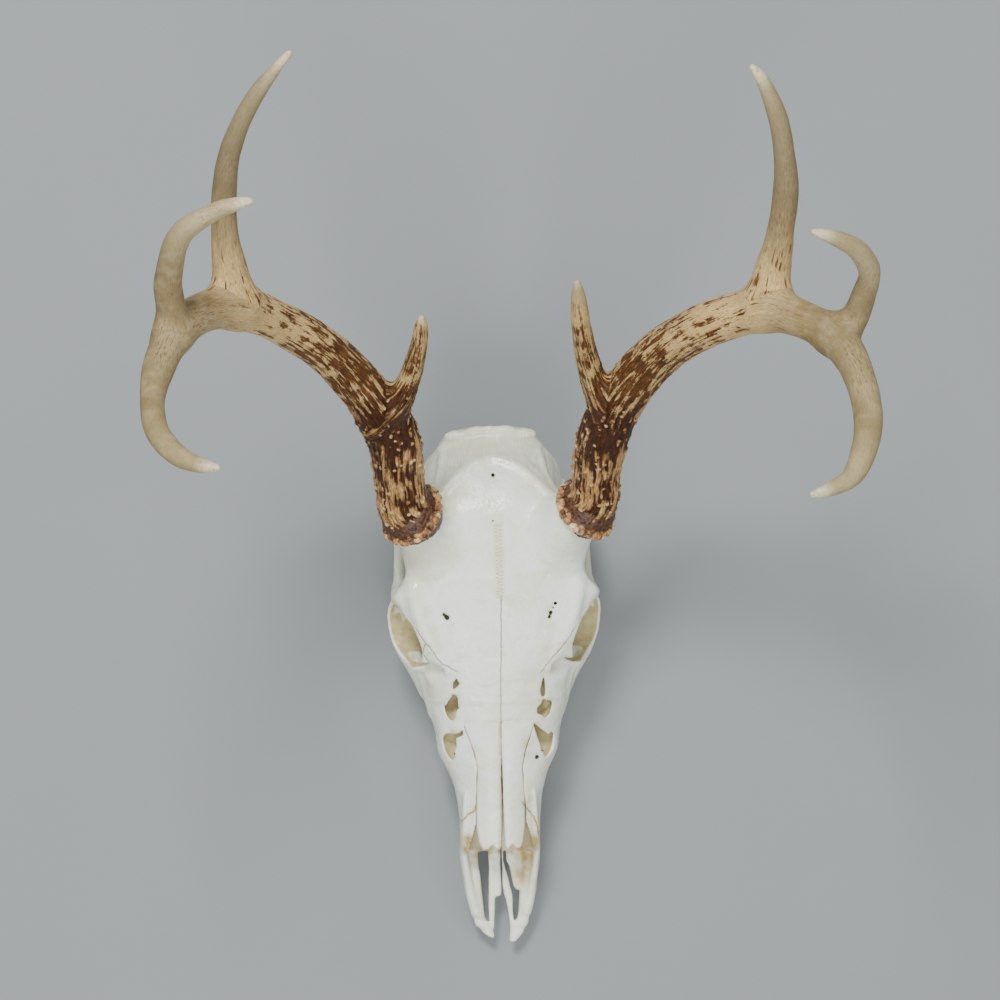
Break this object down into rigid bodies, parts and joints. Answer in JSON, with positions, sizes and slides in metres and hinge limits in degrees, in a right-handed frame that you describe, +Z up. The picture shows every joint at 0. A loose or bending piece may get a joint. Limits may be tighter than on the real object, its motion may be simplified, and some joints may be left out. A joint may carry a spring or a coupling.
{
  "type": "deer skull",
  "caption": "Antlered skull of a white-tailed buck without its lower jaw, resting on its cheek teeth and the processes beside the occiput.",
  "frame": {"origin": "on the floor, under the middle of the whole skull and antlers", "axes": "+Z up, the nose points along -Y and the animal's left side is +X"},
  "size_m": [0.3484, 0.458, 0.3695],
  "materials": {
    "bone": "bleached bone, lightly glossy, with tan stains in the sockets and nose",
    "burr": "dark brown with orange-brown and cream pearls",
    "dark_antler": "dark brown, rough, with tan ridges",
    "tan_antler": "tan with brown streaks in shallow grooves",
    "grey_antler": "smooth grey-beige with ivory tips"
  },
  "bodies": {
    "root": {"occiput": "bone", "braincase": "bone", "frontal_bones": "bone", "cheek_bone_left": "bone", "cheek_bone_right": "bone", "upper_jaw_left": "bone", "upper_jaw_right": "bone", "nasal_bone_left": "bone", "nasal_bone_right": "bone", "premaxilla_left": "bone", "premaxilla_right": "bone", "right_antler_burr": "burr", "right_antler_beam_base": "dark_antler", "right_antler_beam_middle": "tan_antler", "right_antler_beam_tip": "grey_antler", "right_antler_brow_tine": "dark_antler", "right_antler_second_tine": "grey_antler", "right_antler_third_tine": "grey_antler", "left_antler_burr": "burr", "left_antler_beam_base": "dark_antler", "left_antler_beam_middle": "tan_antler", "left_antler_beam_tip": "grey_antler", "left_antler_brow_tine": "dark_antler", "left_antler_second_tine": "grey_antler", "left_antler_third_tine": "grey_antler"}
  },
  "joints": []
}
